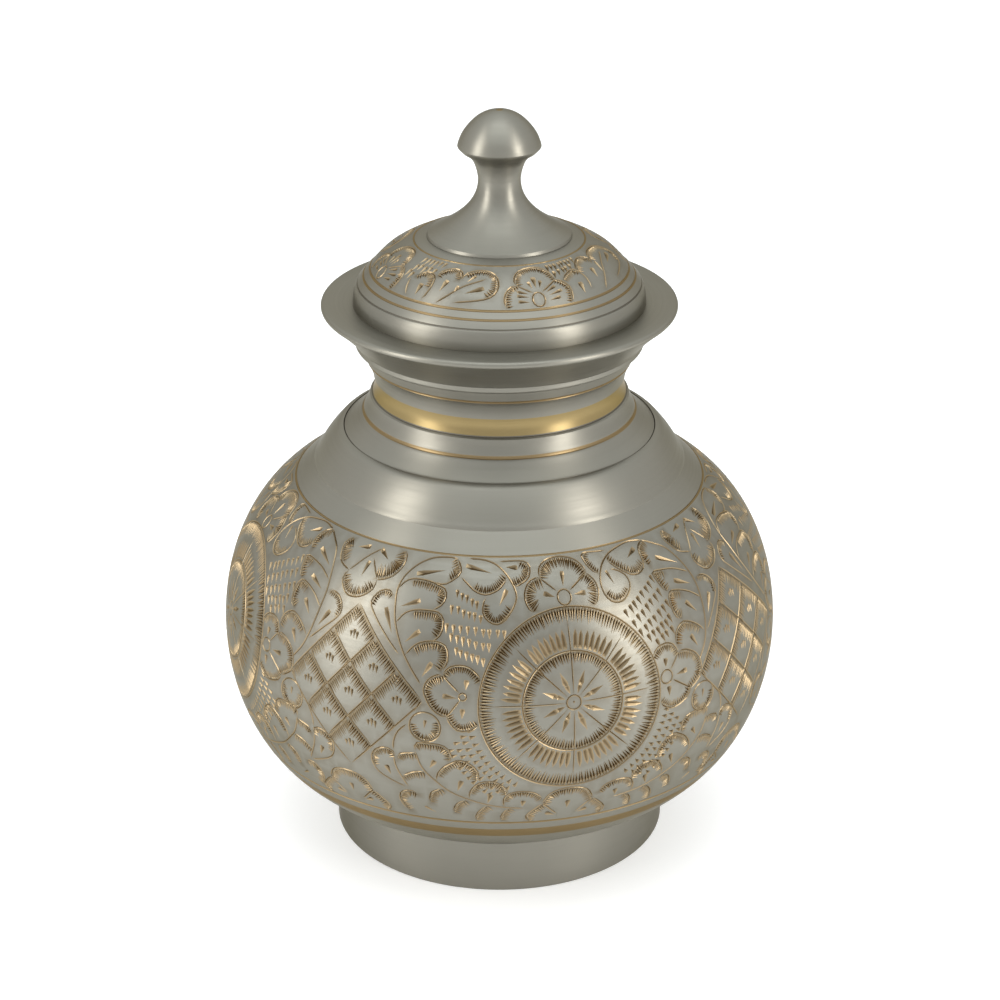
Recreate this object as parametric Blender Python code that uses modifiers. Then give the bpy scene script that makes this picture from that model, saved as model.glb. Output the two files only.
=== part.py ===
"""Engraved brass cremation urn in a pewter finish: a round-bellied hollow vessel on a low drum
foot, a domed lid that lifts off its flared brim, and a mushroom finial on top of the lid.

The upright axis is Z, the ground is Z = 0 and every length is in metres. A turned profile is a
list of (radius, height) points that runs down its outer side. The ornament is drawn on a sheet
unrolled from the bowl: x runs round the bowl and y up its side, from its widest ring."""

import math

import bmesh
import bpy
from mathutils import Vector

# Turned pieces: facets counted round the axis, and the gap where one piece stands on another
BODY_STEPS = 36
FINIAL_STEPS = 20
SEAT_GAP = 0.0003

# Wall of the vessel, which follows its outer side
WALL = 0.0022

# Foot: a straight drum that stands on a ring, with a shallow turned recess under it
FOOT_RADIUS = 0.0602
FOOT_EDGE = 0.0007
STANDING_RING = 0.0060
RECESS_DEPTH = 0.0010
BASE_THICKNESS = 0.0025

# Bowl: a superellipse about its widest ring, cut off where it is as wide as its top
BOWL_RADIUS = 0.0990
BOWL_MID = 0.0818
BOWL_HALF = 0.0658
BOWL_ROUNDNESS = 3.86
BOWL_TOP_RADIUS = 0.07158
BOWL_STEPS_ABOVE = 6
BOWL_STEPS_BELOW = 8
INNER_BOWL_STEPS = 8

# Shoulder, as (radius, rise over the bowl's top): a swelling collar and a ledge at its upper edge
COLLAR_FOOT = (0.0655, 0.0058)
COLLAR_TOP = (0.0556, 0.0180)
COLLAR_SWELL = 0.0007
LEDGE = (0.0541, 0.0186)

# Neck, as (radius, rise over the bowl's top): a waist with a plain band, a ridge under the brim
BAND_FOOT = (0.0444, 0.0313)
BAND_HEEL = 0.0010
WAIST = (0.0436, 0.0350)
BAND_TOP = (0.0439, 0.0372)
NECK_FLARE = (0.0465, 0.0443)
RIDGE_FOOT = (0.0483, 0.0488)
RIDGE = (0.0503, 0.0505)

# Brim: flared, nearly flat on top, with a rounded lip; its sweep leaves the lip and meets the ridge
BRIM_RISE = 0.0639
LIP_RISE = 0.0004
LIP_RADIUS = 0.0618
LIP_ROUND = 0.0012
LIP_END = -50
LIP_STEPS = 4
SWEEP_OFF_LIP = (0.0035, 0.0032)
SWEEP_ONTO_RIDGE = (0.0022, 0.0032)
SWEEP_STEPS = 4

# Mouth: a straight bore that takes the lid's spigot
MOUTH_RADIUS = 0.0478
MOUTH_DEPTH = 0.0105
SPIGOT_CLEARANCE = 0.0004
SPIGOT_LENGTH = 0.0070

# Lid, as (radius, rise over the brim's seat): a base ring, a groove, a sloping border and a dome
LID_WALL = 0.0020
LID_RADIUS = 0.0507
LID_RING_TOP = (0.0504, 0.0064)
LID_GROOVE = 0.0007
LID_BORDER_FOOT = (0.0492, 0.0074)
LID_LINE = (0.0470, 0.0097)
LID_DOME_FOOT = (0.0443, 0.0125)
LID_RISE = 0.0236
LID_HAUNCH = (0.0042, 0.0062)
LID_CROWN = (0.0085, 0.0022)
LID_DOME_STEPS = 5

# Finial, with rises over its own seat: a flared foot, a waisted stem and a pointed mushroom cap
FINIAL_RADIUS = 0.0250
FINIAL_EDGE = 0.0004
FINIAL_STEM = 0.0073
FINIAL_WAIST_RISE = 0.0202
FINIAL_FLARE = 2.2
FINIAL_BUNCHING = 0.8
FINIAL_FLARE_STEPS = 8
CAP_RADIUS = 0.0143
CAP_NECK = (0.0107, 0.0283)
CAP_NECK_STEPS = 4
CAP_EDGE_RISE = 0.0314
CAP_EDGE_ROUND = (0.0005, 0.0008)
CAP_RISE = 0.0440
CAP_TIP_PULL = 0.0058
CAP_SIDE_PULL = (0.0023, 0.0051)
CAP_SWELL = 2.6
CAP_STEPS = 6

# Engraved ornament: four repeats round the bowl, a medallion and a lattice in each
REPEATS = 4
MEDALLION_TURN = 14.6
PATTERN_MID = 0.0128
MEDALLION_RADIUS = 0.0323
MEDALLION_STEPS = 18
MEDALLION_RING = 0.0175
MEDALLION_RING_STEPS = 12
MEDALLION_SPOKES = 8
SPOKE_INNER = 0.0045
SPOKE_GAP = 0.0018
LATTICE_HALF_WIDTH = 0.0270
LATTICE_HALF_HEIGHT = 0.0296
LATTICE_CELLS = 3
LATTICE_LINE_STEPS = 3
CUT_DEPTH = 0.0011
CROSSING_CUT_DEPTH = 0.0009
CUT_SLOPE = 0.45
CUT_LIFT = 0.0008
MERIDIAN_STEPS = 600
MERIDIAN_PROBE = 0.001
MERGE_WITHIN = 0.00002

PEWTER = (0.246, 0.235, 0.198)
PEWTER_LID = (0.262, 0.251, 0.213)
PEWTER_KNOB = (0.231, 0.221, 0.187)


def clear_scene():
    """Empties the scene that the script starts in."""
    for thing in list(bpy.data.objects):
        bpy.data.objects.remove(thing, do_unlink=True)


def make_collection(name):
    """A new collection in the scene."""
    made = bpy.data.collections.new(name)
    bpy.context.scene.collection.children.link(made)
    return made


def metal(name, colour, roughness):
    """A plain satin metal."""
    made = bpy.data.materials.new(name)
    made.use_nodes = True
    shader = made.node_tree.nodes["Principled BSDF"]
    shader.inputs["Base Color"].default_value = (*colour, 1)
    shader.inputs["Metallic"].default_value = 1.0
    shader.inputs["Roughness"].default_value = roughness
    made.diffuse_color = (*colour, 1)
    return made


def raised(point, height):
    """A (radius, rise) size as a profile point over the height that it rises from."""
    return point[0], height + point[1]


def arc(centre, radius, start, end, steps):
    """Points on a circle's arc in a profile, from one angle to another in degrees."""
    points = []
    for step in range(steps + 1):
        angle = math.radians(start + (end - start) * step / steps)
        points.append((centre[0] + radius * math.cos(angle), centre[1] + radius * math.sin(angle)))
    return points


def curve(start, start_pull, end_pull, end, steps):
    """Points on a cubic curve in a profile or on the sheet, both ends included."""
    points = []
    for step in range(steps + 1):
        t = step / steps
        weights = ((1 - t) ** 3, 3 * t * (1 - t) ** 2, 3 * t * t * (1 - t), t ** 3)
        corners = (start, start_pull, end_pull, end)
        points.append(tuple(sum(w * c[i] for w, c in zip(weights, corners)) for i in (0, 1)))
    return points


def inset(points, depth):
    """A profile that runs down its outer side, moved inward by a wall, square to its own line."""
    moved = []
    for index, (radius, height) in enumerate(points):
        before = points[max(index - 1, 0)]
        after = points[min(index + 1, len(points) - 1)]
        along = Vector((after[0] - before[0], after[1] - before[1])).normalized()
        moved.append((radius + along.y * depth, height - along.x * depth))
    return moved


def bowl_point(angle, inward=0.0):
    """A point of the bowl's profile; the angle is 0 at the widest ring and 90 degrees at the top."""
    radius = (BOWL_RADIUS - inward) * math.cos(angle) ** (2 / BOWL_ROUNDNESS)
    return radius, BOWL_MID + (BOWL_HALF - inward) * math.sin(angle)


def bowl_angle_at_radius(radius, inward=0.0):
    """The angle above or below the widest ring at which the bowl has that radius."""
    return math.acos((radius / (BOWL_RADIUS - inward)) ** (BOWL_ROUNDNESS / 2))


def bowl_run(start, end, steps, inward=0.0):
    """The bowl's profile between two angles."""
    return [bowl_point(start + (end - start) * step / steps, inward) for step in range(steps + 1)]


def turned(name, profile, steps, material, collection):
    """A closed profile, spun round the axis by a Screw modifier."""
    mesh = bpy.data.meshes.new(name)
    shape = bmesh.new()
    corners = [shape.verts.new((radius, 0, height)) for radius, height in profile]
    for first, second in zip(corners, corners[1:]):
        shape.edges.new((first, second))
    shape.to_mesh(mesh)
    shape.free()
    made = bpy.data.objects.new(name, mesh)
    collection.objects.link(made)
    screw = made.modifiers.new("turned", "SCREW")
    screw.steps = steps
    screw.render_steps = steps
    screw.use_merge_vertices = True
    screw.merge_threshold = MERGE_WITHIN
    screw.use_smooth_shade = False
    mesh.materials.append(material)
    return made


def bowl_top():
    """The angle and the height at which the bowl ends under the shoulder."""
    angle = bowl_angle_at_radius(BOWL_TOP_RADIUS)
    return angle, bowl_point(angle)[1]


def brim_top():
    """The height of the brim's flat seat."""
    return bowl_top()[1] + BRIM_RISE


def vessel_inside():
    """The vessel's inner side, from the middle of its floor up to the brim."""
    floor = RECESS_DEPTH + BASE_THICKNESS
    inner_foot = FOOT_RADIUS - WALL
    low = -bowl_angle_at_radius(inner_foot, WALL)
    high, top = bowl_top()
    shoulder = [raised(point, top) for point in (WAIST, BAND_FOOT, LEDGE, COLLAR_FOOT)]
    neck = inset(shoulder + [bowl_point(high)], WALL)[:-1]
    bore_foot = brim_top() - MOUTH_DEPTH
    ridge = (RIDGE[0] - 2 * WALL, top + RIDGE[1] - WALL)
    flare = (NECK_FLARE[0] - WALL, top + NECK_FLARE[1])
    inside = [(0, floor), (inner_foot, floor)]
    inside += bowl_run(low, high, INNER_BOWL_STEPS, WALL)
    inside += neck[::-1]
    inside += [flare, ridge, (MOUTH_RADIUS, bore_foot), (MOUTH_RADIUS, brim_top())]
    return inside


def vessel_outside():
    """The vessel's outer side, from the brim's flat seat down to the middle of the underside."""
    high, top = bowl_top()
    low = -bowl_angle_at_radius(FOOT_RADIUS)
    lip_middle = (LIP_RADIUS - LIP_ROUND, brim_top() + LIP_RISE - LIP_ROUND)
    side = [(LID_RADIUS + 2 * SEAT_GAP, brim_top())]
    side += arc(lip_middle, LIP_ROUND, 90, LIP_END, LIP_STEPS)
    ridge = raised(RIDGE, top)
    off_lip = (side[-1][0] - SWEEP_OFF_LIP[0], side[-1][1] - SWEEP_OFF_LIP[1])
    onto_ridge = (ridge[0] + SWEEP_ONTO_RIDGE[0], ridge[1] + SWEEP_ONTO_RIDGE[1])
    side += curve(side[-1], off_lip, onto_ridge, ridge, SWEEP_STEPS)[1:]
    side += [raised(point, top) for point in (RIDGE_FOOT, NECK_FLARE, BAND_TOP, WAIST, BAND_FOOT)]
    side += [(side[-1][0] + BAND_HEEL, side[-1][1] - BAND_HEEL)]
    middle = [(COLLAR_TOP[i] + COLLAR_FOOT[i]) / 2 + COLLAR_SWELL for i in (0, 1)]
    side += [raised(point, top) for point in (LEDGE, COLLAR_TOP, middle, COLLAR_FOOT)]
    side += bowl_run(high, 0, BOWL_STEPS_ABOVE) + bowl_run(0, low, BOWL_STEPS_BELOW)[1:]
    side += [(FOOT_RADIUS, FOOT_EDGE), (FOOT_RADIUS - FOOT_EDGE, 0)]
    recess = FOOT_RADIUS - STANDING_RING
    side += [(recess, 0), (recess, RECESS_DEPTH), (0, RECESS_DEPTH)]
    return side


def lid_profile():
    """The lid's closed profile: over its dome, down the outside, round the spigot, up under it."""
    brim = brim_top()
    seat = brim + SEAT_GAP
    crown = brim + LID_RISE
    spigot = MOUTH_RADIUS - SPIGOT_CLEARANCE
    inner = spigot - LID_WALL
    shoulder = (FINIAL_RADIUS + FINIAL_EDGE, crown)
    foot = raised(LID_DOME_FOOT, brim)
    crown_pull = (shoulder[0] + LID_CROWN[0], crown - LID_CROWN[1])
    haunch_pull = (foot[0] - LID_HAUNCH[0], foot[1] + LID_HAUNCH[1])
    outside = curve(shoulder, crown_pull, haunch_pull, foot, LID_DOME_STEPS)
    outside += [raised(LID_LINE, brim)]
    under = [point for point in inset(outside, LID_WALL) if point[0] < inner]
    ring_top = raised(LID_RING_TOP, brim)
    groove = (ring_top[0] - LID_GROOVE, ring_top[1] + LID_GROOVE / 2)
    border = [raised(LID_BORDER_FOOT, brim), groove, ring_top, (LID_RADIUS, seat)]
    spigot_foot = seat - SPIGOT_LENGTH
    down = [(spigot, seat), (spigot, spigot_foot), (inner, spigot_foot)]
    up = [(inner, ring_top[1] - LID_WALL)] + under[::-1] + [(0, crown - LID_WALL)]
    return [(0, crown)] + outside + border + down + up


def finial_profile():
    """The finial's closed profile, from the tip of its cap down to its flat seat."""
    seat = brim_top() + LID_RISE + SEAT_GAP
    foot_top = seat + 2 * FINIAL_EDGE
    waist = seat + FINIAL_WAIST_RISE
    tip = seat + CAP_RISE
    edge = (CAP_RADIUS, seat + CAP_EDGE_RISE)
    side_pull = (edge[0] - CAP_SIDE_PULL[0], edge[1] + CAP_SIDE_PULL[1])
    cap = curve((0, tip), (CAP_TIP_PULL, tip), side_pull, edge, CAP_STEPS)
    cap += [(edge[0] - CAP_EDGE_ROUND[0], edge[1] - CAP_EDGE_ROUND[1])]
    for step in range(CAP_NECK_STEPS):
        share = 1 - step / CAP_NECK_STEPS
        cap.append((FINIAL_STEM + (CAP_NECK[0] - FINIAL_STEM) * share ** CAP_SWELL,
                    waist + (CAP_NECK[1] - FINIAL_WAIST_RISE) * share))
    spread = FINIAL_RADIUS - FINIAL_EDGE - FINIAL_STEM
    stem = []
    for step in range(FINIAL_FLARE_STEPS + 1):
        share = (step / FINIAL_FLARE_STEPS) ** FINIAL_BUNCHING
        stem.append((FINIAL_STEM + spread * share ** FINIAL_FLARE,
                     waist - (waist - foot_top) * share))
    foot = [(FINIAL_RADIUS, foot_top - FINIAL_EDGE), (FINIAL_RADIUS, seat), (0, seat)]
    return cap + stem + foot


def meridian_table():
    """Pairs of distance up the bowl's side and bowl angle, from the foot to the collar."""
    low = -bowl_angle_at_radius(FOOT_RADIUS)
    high = bowl_top()[0]
    pairs = []
    travelled = 0.0
    last = bowl_point(low)
    for step in range(MERIDIAN_STEPS + 1):
        angle = low + (high - low) * step / MERIDIAN_STEPS
        here = bowl_point(angle)
        travelled += math.dist(here, last)
        pairs.append((travelled, angle))
        last = here
    middle = next(travelled for travelled, angle in pairs if angle >= 0)
    return [(travelled - middle, angle) for travelled, angle in pairs]


MERIDIAN = meridian_table()


def on_bowl(x, y, lift):
    """A sheet point on the bowl, raised square to its surface by a lift."""
    angle = next((a for travelled, a in MERIDIAN if travelled >= y), MERIDIAN[-1][1])
    radius, height = bowl_point(angle)
    ahead = bowl_point(angle + MERIDIAN_PROBE)
    behind = bowl_point(angle - MERIDIAN_PROBE)
    along = Vector((ahead[0] - behind[0], ahead[1] - behind[1])).normalized()
    radius += along.y * lift
    height -= along.x * lift
    turn = x / BOWL_RADIUS
    return Vector((radius * math.sin(turn), -radius * math.cos(turn), height))


def add_groove(shape, path, closed, depth):
    """A V-shaped bar along a path on the sheet, which cuts one groove: three corners a station."""
    count = len(path)
    reach = CUT_SLOPE * (depth + CUT_LIFT)
    rings = []
    for index, (x, y) in enumerate(path):
        before = path[index - 1] if index or closed else path[0]
        after = path[(index + 1) % count] if index + 1 < count or closed else path[-1]
        along = Vector((after[0] - before[0], after[1] - before[1])).normalized()
        across = Vector((-along.y, along.x)) * reach
        rings.append([shape.verts.new(on_bowl(x + across.x, y + across.y, CUT_LIFT)),
                      shape.verts.new(on_bowl(x - across.x, y - across.y, CUT_LIFT)),
                      shape.verts.new(on_bowl(x, y, -depth))])
    spans = list(zip(rings, rings[1:])) + ([(rings[-1], rings[0])] if closed else [])
    for first, second in spans:
        for side in range(3):
            nxt = (side + 1) % 3
            shape.faces.new((first[side], first[nxt], second[nxt], second[side]))
    if not closed:
        shape.faces.new(rings[0][::-1])
        shape.faces.new(rings[-1])


def cut_grooves(body, name, paths, depth, collection):
    """Cuts one family of grooves, none of which crosses another, into the vessel."""
    shape = bmesh.new()
    for path, closed in paths:
        add_groove(shape, path, closed, depth)
    bmesh.ops.recalc_face_normals(shape, faces=shape.faces)
    mesh = bpy.data.meshes.new(name)
    shape.to_mesh(mesh)
    shape.free()
    cutter = bpy.data.objects.new(name, mesh)
    cutter.hide_render = True
    cutter.display_type = "WIRE"
    collection.objects.link(cutter)
    cut = body.modifiers.new(name, "BOOLEAN")
    cut.operation = "DIFFERENCE"
    cut.solver = "EXACT"
    cut.object = cutter


def line(start, end, steps):
    """Evenly spaced points on the sheet from one place to another."""
    return [tuple(start[i] + (end[i] - start[i]) * step / steps for i in (0, 1))
            for step in range(steps + 1)]


def ring(centre, radius, steps):
    """Points round a circle on the sheet."""
    return [(centre[0] + radius * math.sin(math.tau * step / steps),
             centre[1] + radius * math.cos(math.tau * step / steps)) for step in range(steps)]


def repeat_places(turn):
    """Where one motif comes round the sheet, once in each repeat."""
    return [BOWL_RADIUS * math.radians(turn + 360 * copy / REPEATS) for copy in range(REPEATS)]


def medallion_rings():
    """The outer and inner ring of each medallion."""
    paths = []
    for x in repeat_places(MEDALLION_TURN):
        paths.append((ring((x, PATTERN_MID), MEDALLION_RADIUS, MEDALLION_STEPS), True))
        paths.append((ring((x, PATTERN_MID), MEDALLION_RING, MEDALLION_RING_STEPS), True))
    return paths


def medallion_spokes():
    """The lines that part each medallion's inner disc."""
    paths = []
    for x in repeat_places(MEDALLION_TURN):
        for spoke in range(MEDALLION_SPOKES):
            angle = math.tau * spoke / MEDALLION_SPOKES
            ends = [(x + reach * math.sin(angle), PATTERN_MID + reach * math.cos(angle))
                    for reach in (SPOKE_INNER, MEDALLION_RING - SPOKE_GAP)]
            paths.append((line(*ends, 1), False))
    return paths


def lattice_lines(lean):
    """The lattice's lines that lean one way, 1 for right and -1 for left."""
    paths = []
    for x in repeat_places(MEDALLION_TURN + 180 / REPEATS):
        top = (x, PATTERN_MID + LATTICE_HALF_HEIGHT)
        bottom = (x, PATTERN_MID - LATTICE_HALF_HEIGHT)
        near = (x - lean * LATTICE_HALF_WIDTH, PATTERN_MID)
        far = (x + lean * LATTICE_HALF_WIDTH, PATTERN_MID)
        for share in range(LATTICE_CELLS + 1):
            starts = line(near, bottom, LATTICE_CELLS)[share]
            ends = line(top, far, LATTICE_CELLS)[share]
            paths.append((line(starts, ends, LATTICE_LINE_STEPS), False))
    return paths


def build():
    clear_scene()
    urn = make_collection("cremation_urn")
    cutters = make_collection("cutters")
    vessel = turned("urn_body", vessel_inside() + vessel_outside(), BODY_STEPS,
                    metal("pewter_body", PEWTER, 0.38), urn)
    cut_grooves(vessel, "medallion_rings", medallion_rings(), CUT_DEPTH, cutters)
    cut_grooves(vessel, "lattice_right", lattice_lines(1), CUT_DEPTH, cutters)
    cut_grooves(vessel, "lattice_left", lattice_lines(-1), CROSSING_CUT_DEPTH, cutters)
    cut_grooves(vessel, "medallion_spokes", medallion_spokes(), CROSSING_CUT_DEPTH, cutters)
    turned("urn_lid", lid_profile(), BODY_STEPS, metal("pewter_lid", PEWTER_LID, 0.38), urn)
    turned("lid_finial", finial_profile(), FINIAL_STEPS,
           metal("pewter_finial", PEWTER_KNOB, 0.35), urn)


build()
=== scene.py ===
# %% [markdown]
# # An engraved cremation urn
# The real urn is turned and cast brass under a satin pewter-coloured finish. A craftsman then cuts
# the ornament through that finish with small chisels, so each cut shows the warm brass under it.
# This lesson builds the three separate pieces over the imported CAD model: the vessel, the lid that
# lifts off its brim, and the finial on the lid. Lengths are in metres and +Z is up, as in the CAD.

import math
import random

import bmesh
import bpy
import numpy as np
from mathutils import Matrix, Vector
from mathutils.geometry import delaunay_2d_cdt


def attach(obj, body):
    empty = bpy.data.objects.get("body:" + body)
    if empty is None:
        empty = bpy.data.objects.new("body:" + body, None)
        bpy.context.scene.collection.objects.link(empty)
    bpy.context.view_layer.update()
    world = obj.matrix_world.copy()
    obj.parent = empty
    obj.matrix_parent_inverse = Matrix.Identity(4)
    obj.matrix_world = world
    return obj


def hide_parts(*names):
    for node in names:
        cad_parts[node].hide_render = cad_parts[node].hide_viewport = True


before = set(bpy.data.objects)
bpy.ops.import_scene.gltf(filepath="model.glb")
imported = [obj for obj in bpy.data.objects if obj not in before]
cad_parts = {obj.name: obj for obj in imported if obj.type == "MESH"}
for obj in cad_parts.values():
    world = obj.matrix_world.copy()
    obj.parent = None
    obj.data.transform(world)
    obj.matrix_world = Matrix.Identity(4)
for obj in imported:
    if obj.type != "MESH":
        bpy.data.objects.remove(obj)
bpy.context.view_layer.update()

# %% [markdown]
# ## The camera
# The photograph looks down on the urn by about 24 degrees from about a metre away, with
# a long lens. A camera aimed with to_track_quat holds that view without any constraint.

# %% Place the camera
CAMERA_PLACE = Vector((0.0002, -0.912, 0.535))
CAMERA_TARGET = Vector((0.0002, 0.0, 0.1253))
LENS = 100.8
SENSOR_WIDTH = 36

camera_data = bpy.data.cameras.new("photo_camera")
camera_data.lens = LENS
camera_data.sensor_width = SENSOR_WIDTH
camera = bpy.data.objects.new("photo_camera", camera_data)
bpy.context.scene.collection.objects.link(camera)
camera.location = CAMERA_PLACE
camera.rotation_euler = (CAMERA_TARGET - CAMERA_PLACE).to_track_quat("-Z", "Y").to_euler()
bpy.context.scene.camera = camera
bpy.context.scene.view_settings.view_transform = "Standard"
print("camera at", tuple(round(value, 3) for value in camera.location))

# %% [markdown]
# ## The studio
# The urn stands on a plain white sweep. Metal shows what stands round it, so the light decides
# how the urn looks: a pale room, dimmer low down and towards the camera, and soft window-like panels
# to the left and right that draw the two long highlights on the shoulder and on the knob.

# %% The floor
FLOOR_RADIUS = 6


def set_inputs(tree, node, given):
    """Fills a node's inputs, each with a value or with a link from another node's output."""
    for name, value in given.items():
        if isinstance(value, bpy.types.NodeSocket):
            tree.links.new(value, node.inputs[name])
        else:
            node.inputs[name].default_value = value


floor_mesh = bpy.data.meshes.new("floor")
floor_shape = bmesh.new()
bmesh.ops.create_circle(floor_shape, cap_ends=True, segments=96, radius=FLOOR_RADIUS)
floor_shape.to_mesh(floor_mesh)
floor_shape.free()
floor = bpy.data.objects.new("floor", floor_mesh)
bpy.context.scene.collection.objects.link(floor)

sweep = bpy.data.materials.new("white_sweep")
sweep.use_nodes = True
set_inputs(sweep.node_tree, sweep.node_tree.nodes["Principled BSDF"], {
    "Base Color": (0.86, 0.86, 0.86, 1), "Roughness": 0.9,
    "Emission Color": (1, 1, 1, 1), "Emission Strength": 0.27})
floor_mesh.materials.append(sweep)
print("floor:", round(floor.dimensions.x, 1), "m across")

# %% The lights
URN_MIDDLE = (0, 0, 0.13)
WINDOW_SIZE = (0.42, 1.25)
OVERHEAD_SIZE = (1.4, 0.8)


def soft_panel(name, place, size, watts, colour):
    """A rectangular studio light aimed at the urn."""
    data = bpy.data.lights.new(name, "AREA")
    data.shape = "RECTANGLE"
    data.size, data.size_y = size
    data.energy = watts
    data.color = colour
    panel = bpy.data.objects.new(name, data)
    bpy.context.scene.collection.objects.link(panel)
    panel.location = place
    aim = Vector(URN_MIDDLE) - Vector(place)
    panel.rotation_euler = aim.to_track_quat("-Z", "Y").to_euler()


soft_panel("left_window", (-1.15, -0.55, 0.68), WINDOW_SIZE, 8.5, (1.0, 0.975, 0.94))
soft_panel("right_window", (1.15, -0.80, 0.68), WINDOW_SIZE, 10, (1.0, 0.97, 0.93))
soft_panel("overhead", (0.0, -0.34, 1.88), OVERHEAD_SIZE, 7, (0.94, 0.98, 1.0))

# %% [markdown]
# The room is one smooth ramp from the horizon up to the zenith, and a little brighter behind the
# urn than towards the camera. The same helper will place every node from here on.

# %% The room
SKY = ((0.49, (0.66, 0.65, 0.63)), (0.61, (0.95, 0.945, 0.93)), (0.90, (1.03, 1.08, 1.10)))
STRENGTH_IN_FRONT, STRENGTH_BEHIND = 0.94, 1.2


def add_node(tree, kind, given, **settings):
    """A new node with its settings made and its inputs filled."""
    node = tree.nodes.new(kind)
    for name, value in settings.items():
        setattr(node, name, value)
    set_inputs(tree, node, given)
    return node


def map_range(tree, value, low, high, start=0.3, end=0.7):
    """A value carried to a new range. Noise mostly lies from 0.3 to 0.7."""
    node = add_node(tree, "ShaderNodeMapRange", {
        "Value": value, "From Min": start, "From Max": end, "To Min": low, "To Max": high})
    return node.outputs["Result"]


world = bpy.data.worlds.new("pale_room")
bpy.context.scene.world = world
world.use_nodes = True
room = world.node_tree
toward = room.nodes.new("ShaderNodeTexCoord").outputs["Generated"]
ways = add_node(room, "ShaderNodeSeparateXYZ", {"Vector": toward}).outputs
ramp = add_node(room, "ShaderNodeValToRGB", {"Fac": map_range(room, ways["Z"], 0, 1, -1, 1)})
ramp.color_ramp.elements.new(SKY[1][0])
for element, (position, colour) in zip(ramp.color_ramp.elements, SKY):
    element.position = position
    element.color = (*colour, 1)
strength = map_range(room, ways["Y"], STRENGTH_IN_FRONT, STRENGTH_BEHIND, -1, 1)
set_inputs(room, room.nodes["Background"], {"Color": ramp.outputs["Color"], "Strength": strength})
print("room:", [round(element.position, 2) for element in ramp.color_ramp.elements])

# %% [markdown]
# ## Finishes
# Two effects return on every metal here, so each is a node group. Turning marks are the fine rings
# that a lathe tool leaves: noise that changes along the profile and hardly at all round the axis.
# Handling is the slow, cloudy change of tone that polish and fingers leave.

# %% The turning marks
RINGS_PER_METRE = 900.0
DRIFT = 0.02


def new_group(name, given, result):
    """A shader node group with one named input, its default, and one named output."""
    group = bpy.data.node_groups.new(name, "ShaderNodeTree")
    made = group.interface.new_socket(given[0], in_out="INPUT", socket_type="NodeSocketFloat")
    made.default_value = given[1]
    group.interface.new_socket(result, in_out="OUTPUT", socket_type="NodeSocketFloat")
    return group, group.nodes.new("NodeGroupInput").outputs[0], group.nodes.new("NodeGroupOutput")


def math_node(tree, operation, first, second):
    """A Math node whose two values are sockets or numbers."""
    return add_node(tree, "ShaderNodeMath", {0: first, 1: second}, operation=operation).outputs[0]


def noise_node(tree, vector, scale, detail):
    """A Noise Texture's value; the scale is a number or a socket."""
    given = {"Vector": vector, "Scale": scale, "Detail": detail}
    return add_node(tree, "ShaderNodeTexNoise", given).outputs["Fac"]


turning, density, result = new_group("turning_marks", ("Rings per metre", RINGS_PER_METRE), "Rings")
spot = turning.nodes.new("ShaderNodeTexCoord").outputs["Object"]
ways = add_node(turning, "ShaderNodeSeparateXYZ", {"Vector": spot}).outputs
squares = [math_node(turning, "MULTIPLY", ways[axis], ways[axis]) for axis in ("X", "Y")]
radius = math_node(turning, "SQRT", math_node(turning, "ADD", *squares), 0.0)
drift = math_node(turning, "MULTIPLY", ways["X"], DRIFT)
flat = add_node(turning, "ShaderNodeCombineXYZ", {"X": radius, "Y": ways["Z"], "Z": drift})
rings = noise_node(turning, flat.outputs["Vector"], density, 3.0)
turning.links.new(rings, result.inputs["Rings"])
print("group:", turning.name)

# %% The handling marks
CLOUDS_PER_METRE = 22.0

handling, density, result = new_group("handling", ("Clouds per metre", CLOUDS_PER_METRE), "Clouds")
spot = handling.nodes.new("ShaderNodeTexCoord").outputs["Object"]
handling.links.new(noise_node(handling, spot, density, 4.0), result.inputs["Clouds"])
print("group:", handling.name)

# %% [markdown]
# ## One recipe for the metals
# Each metal differs only in its two tones, its roughness and how deep its rings are. The tones are
# mixed by the clouds, the roughness by clouds and rings, and the rings also lift a faint bump. The
# highlights stretch across the rings, as they do on turned metal, but not in the chisel's cuts.

# %% Make the metals
TINT = (0.5, 0.48, 0.43, 1)
ROUGHNESS_SPREAD = 0.03


def mix(tree, amount, first, second):
    """A mix of two colours."""
    given = {"Factor": amount, "A": first, "B": second}
    return add_node(tree, "ShaderNodeMix", given, data_type="RGBA").outputs["Result"]


def metal(name, dark, light, roughness, ring_depth, rings_per_metre=RINGS_PER_METRE, stretch=0.6):
    """A turned metal with two tones."""
    made = bpy.data.materials.new(name)
    made.use_nodes = True
    made.diffuse_color = (*light, 1)
    tree = made.node_tree
    marks = add_node(tree, "ShaderNodeGroup", {0: rings_per_metre}, node_tree=turning).outputs[0]
    clouds = add_node(tree, "ShaderNodeGroup", {0: CLOUDS_PER_METRE}, node_tree=handling).outputs[0]
    cloudy = map_range(tree, clouds, roughness - ROUGHNESS_SPREAD, roughness + ROUGHNESS_SPREAD)
    ringed = map_range(tree, marks, -ROUGHNESS_SPREAD, ROUGHNESS_SPREAD)
    bump = add_node(tree, "ShaderNodeBump", {"Distance": ring_depth, "Strength": 1.0, "Height": marks})
    set_inputs(tree, tree.nodes["Principled BSDF"], {
        "Base Color": mix(tree, map_range(tree, clouds, 0, 1), (*dark, 1), (*light, 1)),
        "Metallic": 1.0, "Roughness": math_node(tree, "ADD", cloudy, ringed),
        "Specular Tint": TINT, "Anisotropic": stretch, "Anisotropic Rotation": 0.25,
        "Normal": bump.outputs["Normal"]})
    return made


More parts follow.
